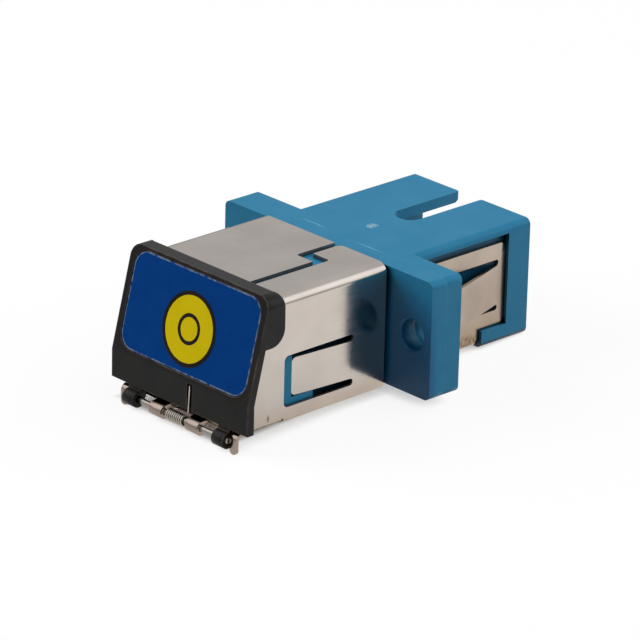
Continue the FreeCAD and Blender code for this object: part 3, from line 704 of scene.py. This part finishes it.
FINISHES = {
    "body_rear": (blue, 0.06),
    "body_front": (blue, 0.06),
    "latch_insert_rear": (ivory, 0.05),
    "latch_insert_front": (ivory, 0.05),
    "split_sleeve": (ceramic, 0.03),
    "panel_clip": (clip_steel, 0.03),
    "shutter_housing": (nickel, 0.03),
    "hinge_pin": (pin_steel, 0.01),
    "shutter_door": (black, 0.06),
    "door_label": (film, 0.02),
}
for name, (material, width) in FINISHES.items():
    nodes[name].data.materials.clear()
    nodes[name].data.materials.append(material)
    soften(nodes[name], width)
print("dressed", len(FINISHES), "parts")

# %% [markdown]
# ## A wire from one ring
#
# A bent wire could be a curve with a bevel, but a ring of vertices gives full control of
# where the wire starts and ends. The ring is the wire's section. Extruding its edges draws a
# straight piece, and the spin operator sweeps it round a bend. With a little drift at each
# step, the same operator winds a coil.

# %% Draw and turn a wire
STEP_ANGLE = math.radians(12.9)


def ring_edges(geometry):
    """The edges among some geometry."""
    return [g for g in geometry if isinstance(g, bmesh.types.BMEdge)]


def ring_verts(geometry):
    """The vertices among some geometry."""
    return [g for g in geometry if isinstance(g, bmesh.types.BMVert)]


def draw_out(bm, edges, step):
    """Extrudes a ring of edges by a step and returns the new ring."""
    made = bmesh.ops.extrude_edge_only(bm, edges=edges)["geom"]
    bmesh.ops.translate(bm, verts=ring_verts(made), vec=step)
    return ring_edges(made)


def turn_wire(bm, edges, centre, angle, along=0.0):
    """Sweeps a ring about a centre by an angle, drifting along X, and returns the last ring."""
    steps = max(3, round(abs(angle) / STEP_ANGLE))
    ring = list({vert for edge in edges for vert in edge.verts}) + list(edges)
    made = bmesh.ops.spin(bm, geom=ring, cent=centre, axis=(1, 0, 0), angle=angle, steps=steps,
                          dvec=(along / steps, 0, 0), use_duplicate=False)
    return ring_edges(made["geom_last"])


print("wire helpers ready, a step every", round(math.degrees(STEP_ANGLE), 1), "degrees")

# %% [markdown]
# ## The torsion spring
#
# A fine round wire is wound round the pin in nearly nine turns. One leg presses on the sheet
# under the box. The other leaves the far end of the coil, bends at a knee and lies in the
# door's groove. The whole spring is made round the hinge line and then moved to it.

# %% Wind the spring
AXIS = Vector(frame["joints"][0]["pos_m"])
WIRE_R = 0.070 * MM
COIL_R = 0.39 * MM
COIL_HALF = 0.86 * MM
COIL_START = math.radians(78.85)
COIL_TURNED = math.radians(3187.8)
BACK_LEG = 1.30 * MM
KNEE = Vector((1.02, 0.09, 0.69)) * MM
TIP = Vector((1.02, 0.22, 2.77)) * MM
KNEE_R = 0.30 * MM
RING_SIDES = 12


def front_leg(bm, ring, coil_end):
    """Draws the wire from the coil's end up to the knee, round it and on to the tip."""
    rise = KNEE - coil_end
    climb = TIP - KNEE
    upward = Vector((0, rise.y, rise.z)).normalized()
    inward = Vector((0, rise.z, -rise.y)).normalized() * KNEE_R
    lean = math.atan2(climb.z, climb.y) - math.atan2(rise.z, rise.y)
    short = KNEE_R * math.tan(abs(lean) / 2)
    ring = draw_out(bm, ring, rise - upward * short)
    ring = turn_wire(bm, ring, KNEE - upward * short + inward, lean)
    draw_out(bm, ring, climb - climb.normalized() * short)


def wind_spring():
    """The wire, from the tip of its back leg round the coil to the tip of its front leg."""
    bm = bmesh.new()
    first = Matrix.Rotation(COIL_START, 4, "X") @ Matrix.Translation((-COIL_HALF, COIL_R, 0))
    bmesh.ops.create_circle(bm, segments=RING_SIDES, radius=WIRE_R, matrix=first)
    start = list(bm.edges)
    ring = turn_wire(bm, start, (0, 0, 0), COIL_TURNED, 2 * COIL_HALF)
    draw_out(bm, start, first.to_3x3() @ Vector((0, 0, -BACK_LEG)))
    leave = COIL_START + COIL_TURNED
    front_leg(bm, ring, Vector((COIL_HALF, COIL_R * math.cos(leave), COIL_R * math.sin(leave))))
    bmesh.ops.holes_fill(bm, edges=bm.edges, sides=RING_SIDES)
    bmesh.ops.recalc_face_normals(bm, faces=bm.faces)
    bmesh.ops.translate(bm, verts=bm.verts, vec=AXIS)
    return bm


spring_shape = wind_spring()
print("spring of", len(spring_shape.verts), "points")

# %% [markdown]
# ## The spring as an object
#
# A bmesh is only a shape in memory. It becomes an object when it is written to a mesh that
# has a material and a place in the scene, and smooth shading makes the wire look round.
#
# The wound spring then stands in for the imported one, which is hidden.

# %% Make the spring an object
def finish_mesh(name, bm, material):
    """Turns a bmesh into a smooth-shaded object with one material."""
    mesh = bpy.data.meshes.new(name)
    bm.to_mesh(mesh)
    bm.free()
    for polygon in mesh.polygons:
        polygon.use_smooth = True
    mesh.materials.append(material)
    obj = bpy.data.objects.new(name, mesh)
    bpy.context.scene.collection.objects.link(obj)
    print(name, len(mesh.polygons), "faces")
    return obj


spring = finish_mesh("spring_wound", spring_shape, wire_steel)
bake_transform(spring)
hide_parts("torsion_spring")

# %% [markdown]
# ## The printed mark
#
# The label carries one plain mark, a yellow disc with a dark rim and a dark ring. Each is a
# film of ink a hundredth of a millimetre thick. A disc is a filled circle, a ring is two
# circles bridged, and both are extruded by the thickness and laid on the leaning label. The
# rim and the ring are raised by half a film, so that they lie on the yellow.

# %% Print the mark
DISC_R = 2.75 * MM
RIM_W = 0.30 * MM
RING_R = 1.15 * MM
RING_W = 0.28 * MM
INK_T = 0.012 * MM
MARK_DROP = 0.45 * MM
CIRCLE_SIDES = 96
YELLOW = (0.720, 0.560, 0.003)
YELLOW_PALE = (0.760, 0.590, 0.005)
INK_BLACK = (0.016, 0.012, 0.010)
INK_BLACK_PALE = (0.022, 0.018, 0.015)


def ink(name, color, pale):
    """A satin printing ink with a faint mottle."""
    return moulded(name, color, pale, 0.45, 6000, 0.05, sheen=0.06)


def annulus(inner, outer, lift):
    """A flat ring of ink, or a disc if inner is nothing."""
    bm = bmesh.new()
    bmesh.ops.create_circle(bm, segments=CIRCLE_SIDES, radius=outer, cap_ends=not inner)
    if inner:
        bmesh.ops.create_circle(bm, segments=CIRCLE_SIDES, radius=inner)
        bmesh.ops.bridge_loops(bm, edges=bm.edges)
    made = bmesh.ops.extrude_face_region(bm, geom=bm.faces[:])["geom"]
    bmesh.ops.translate(bm, verts=ring_verts(made), vec=(0, 0, INK_T))
    bmesh.ops.recalc_face_normals(bm, faces=bm.faces)
    on_label = Matrix((Vector((1, 0, 0)), label_up, label_out)).transposed().to_4x4()
    centre = label_middle - label_up * MARK_DROP + label_out * lift
    bmesh.ops.transform(bm, matrix=Matrix.Translation(centre) @ on_label, verts=bm.verts)
    return bm


yellow_ink = ink("yellow_ink", YELLOW, YELLOW_PALE)
black_ink = ink("black_ink", INK_BLACK, INK_BLACK_PALE)
marks = {
    "mark_disc": (annulus(0, DISC_R - RIM_W / 2, 0.0), yellow_ink),
    "mark_rim": (annulus(DISC_R - RIM_W, DISC_R, INK_T / 2), black_ink),
    "mark_ring": (annulus(RING_R - RING_W, RING_R, INK_T / 2), black_ink),
}
for name, (shape, material) in marks.items():
    mark = finish_mesh(name, shape, material)
    for polygon in mark.data.polygons:
        polygon.use_smooth = False
    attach(mark, "door")

# %% [markdown]
# ## The floor
#
# The adapter stands on its two hinge ears and the lower edge of its rear mouth, so the floor
# is tilted by a few degrees against the part's own axes. One material gives the floor three
# looks, and the Light Path node says which kind of ray is asking.
#
# The camera sees it white. A white floor could be a very bright lamp, but then it would light
# the part from below, so it glows to the camera only. Right under the part and in the narrow
# gap beside it, plain paper shows instead of the glow, and there the shadow stays.

# %% Whiten the floor
FLOOR_PAPER = (0.95, 0.95, 0.95, 1)
WHITE = (1, 1, 1, 1)
FLOOR_GLOW = 0.90
FLOOR_GAP_GLOW = 0.4
FLOOR_GAP_REACH = 5.0
SHADE_MIDDLE = Vector((-1.4, 0, 0)) * MM
SHADE_HALF = Vector((5.4, 13.2, 1000)) * MM
SHADE_BLUR = 0.8 * MM


def mix_shaders(material, factor, first, second):
    """A mix of two shader sockets by a factor socket."""
    node = add(material, "MixShader")
    join(material, factor, node.inputs["Fac"])
    join(material, first, node.inputs[1])
    join(material, second, node.inputs[2])
    return node.outputs[0]


def seen_floor(material, where, far):
    """White, with the shade under the part and in the narrow gap beside it."""
    middle = vector(material, "SUBTRACT", where, SHADE_MIDDLE)
    split = add(material, "SeparateXYZ")
    join(material, past_straight(material, middle, SHADE_HALF), split.inputs["Vector"])
    past = larger(material, split.outputs["X"], split.outputs["Y"])
    outside = remap(material, past, 0, SHADE_BLUR)
    gap = crevices(material, FLOOR_GAP_REACH, 0.02, 0.30)
    open_air = remap(material, gap, 0, 1, FLOOR_GAP_GLOW, FLOOR_GLOW)
    paper = add(material, "BsdfDiffuse", {"Color": FLOOR_PAPER}).outputs[0]
    glow = add(material, "Emission", {"Color": WHITE, "Strength": 1.0}).outputs[0]
    white = larger(material, times(material, outside, open_air), far)
    return mix_shaders(material, white, paper, glow)


print("shade", [round(2 * half / MM, 1) for half in SHADE_HALF[:2]], "mm wide and long")

# %% [markdown]
# Shiny metal shows little else than what stands round it. To mirror rays the floor is a
# sheet of light that grows from front to back and fades far away, and to everything else it
# is a grey board that bounces a little light up.

# %% Light the metal from the floor
FLOOR_GREY = (0.25, 0.25, 0.25)
FLOOR_TINT = (1, 0.98, 0.96, 1)
FLOOR_FRONT = 0.55
FLOOR_BACK = 0.95
FLOOR_FAR = 0.33
FRONT_TO_BACK = (0.72, 0.69, 0)
FRONT_END = -12 * MM
BACK_END = 14 * MM
FADE_START = 50 * MM
FADE_END = 180 * MM


def mirrored_floor(material, where, far):
    """A sheet of light that grows from front to back and fades far away."""
    behind = vector(material, "DOT_PRODUCT", where, FRONT_TO_BACK)
    near = remap(material, behind, FRONT_END, BACK_END, FLOOR_FRONT, FLOOR_BACK)
    strength = add(material, "Mix", {"B": FLOOR_FAR}, data_type="FLOAT")
    join(material, far, strength.inputs["Factor"])
    join(material, near, strength.inputs["A"])
    light = add(material, "Emission", {"Color": FLOOR_TINT})
    join(material, strength.outputs[0], light.inputs["Strength"])
    return light.outputs[0]


def floor_material():
    """White to the camera, a graded light to mirrors, a grey board to the rest."""
    material, shader = start_material("floor_white", FLOOR_GREY, 0.8)
    path = add(material, "LightPath").outputs
    where = add(material, "TexCoord").outputs["Object"]
    far = remap(material, vector(material, "LENGTH", where), FADE_START, FADE_END)
    board = mix_shaders(material, path["Is Glossy Ray"], shader.outputs[0],
                        mirrored_floor(material, where, far))
    straight_through = larger(material, path["Is Camera Ray"], path["Is Transmission Ray"])
    surface = mix_shaders(material, straight_through, board, seen_floor(material, where, far))
    join(material, surface, material.node_tree.nodes["Material Output"].inputs["Surface"])
    return material


white_floor = floor_material()
print("made", white_floor.name)

# %% [markdown]
# The floor itself is one large square. It is tilted first and then moved to the line where
# the ears stand, a hair below them so that the two surfaces don't flicker.

# %% Lay the floor
FLOOR_HALF = 2.0
FOOT_GAP = 0.01 * MM
EAR_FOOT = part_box("shutter_housing")[0].z
REAR_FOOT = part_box("body_rear")[0].z
REAR_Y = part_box("body_rear")[1].y


def lay_floor(slope):
    """One large square, tilted about the line where the ears stand."""
    bm = bmesh.new()
    bmesh.ops.create_grid(bm, x_segments=1, y_segments=1, size=FLOOR_HALF)
    tilt = Matrix.Rotation(slope, 4, "X")
    contact = Matrix.Translation((0, AXIS.y, EAR_FOOT - FOOT_GAP))
    bmesh.ops.transform(bm, matrix=contact @ tilt, verts=bm.verts)
    return bm


slope = math.atan2(REAR_FOOT - EAR_FOOT, REAR_Y - AXIS.y)
floor = finish_mesh("floor", lay_floor(slope), white_floor)
print(f"floor tilted by {math.degrees(slope):.1f} degrees")

# %% [markdown]
# ## Two soft lamps
#
# Two square lamps light the part, one from the left front and one from the right behind. Soft
# lamps are large for their distance, so their shadows have no hard edge. Shiny metal would
# show them as hard white squares, so both are hidden from mirror rays, and the room below
# gives the metal something softer to show.

# %% Hang the lamps
LAMP_DISTANCE = 0.45


def soft_lamp(name, direction, size, power):
    """A square area lamp that faces the origin."""
    data = bpy.data.lights.new(name, "AREA")
    data.shape = "SQUARE"
    data.size = size
    data.energy = power
    lamp = bpy.data.objects.new(name, data)
    away = Vector(direction).normalized()
    lamp.location = away * LAMP_DISTANCE
    lamp.rotation_euler = away.to_track_quat("Z", "Y").to_euler()
    lamp.visible_glossy = False
    bpy.context.scene.collection.objects.link(lamp)
    print(name, "gives", power, "W")


soft_lamp("left_box", (-0.66, -0.52, 0.54), 0.30, 1.70)
soft_lamp("right_box", (0.55, 0.40, 0.73), 0.50, 1.95)

# %% [markdown]
# ## The room
#
# Mirrors need a room to show. This one is a grey that is brighter overhead, with a soft glow
# about where each lamp hangs. A glow is the dot product of the ray's direction and its own,
# remapped to a smooth spot between two angles.

# %% Paint the room
ROOM_TONES = ((0.0, 0.32), (0.12, 0.36), (0.38, 0.60), (0.80, 0.66))
RIGHT_GLOW = ((0.60, 0.64, 0.46), 8, 30, 0.65)
LEFT_GLOW = ((-0.66, -0.42, 0.62), 12, 34, 0.50)


def soft_glow(world, direction, near, far, strength):
    """A spot of light in one direction, full to one angle and gone at another."""
    coords = add(world, "TexCoord").outputs["Generated"]
    toward = vector(world, "DOT_PRODUCT", coords, Vector(direction).normalized())
    spot = add(world, "MapRange", {"From Min": math.cos(math.radians(far)),
                                   "From Max": math.cos(math.radians(near)),
                                   "To Max": strength}, interpolation_type="SMOOTHSTEP")
    join(world, toward, spot.inputs["Value"])
    return spot.outputs["Result"]


def room_tones(world):
    """Greys that rise with the height in the room."""
    split = add(world, "SeparateXYZ")
    ramp = add(world, "ValToRGB")
    join(world, add(world, "TexCoord").outputs["Generated"], split.inputs["Vector"])
    join(world, split.outputs["Z"], ramp.inputs["Fac"])
    while len(ramp.color_ramp.elements) < len(ROOM_TONES):
        ramp.color_ramp.elements.new(0.5)
    for stop, (spot, value) in zip(ramp.color_ramp.elements, ROOM_TONES):
        stop.position = spot
        stop.color = (value, value, value, 1)
    return ramp.outputs["Color"]


print("room painted in", len(ROOM_TONES), "greys")

# %% [markdown]
# The world then gives each kind of ray its own look, as the floor does: white to the camera,
# the painted room to mirrors, and a weak, even fill to everything else.

# %% Set the world
WORLD_FILL = 0.12


def studio_world():
    """White to the camera, a room with two soft lights to mirrors, a plain fill to the rest."""
    world = bpy.data.worlds.new("studio")
    world.use_nodes = True
    path = add(world, "LightPath").outputs
    right = soft_glow(world, *RIGHT_GLOW)
    left = soft_glow(world, *LEFT_GLOW)
    mirrored = combine(world, "ADD", combine(world, "ADD", room_tones(world), right), left)
    lit = tint(world, path["Is Glossy Ray"], (WORLD_FILL,) * 3, mirrored)
    seen = tint(world, path["Is Camera Ray"], lit, (1, 1, 1))
    join(world, seen, world.node_tree.nodes["Background"].inputs["Color"])
    return world


bpy.context.scene.world = studio_world()
print("room ready, fill", WORLD_FILL)
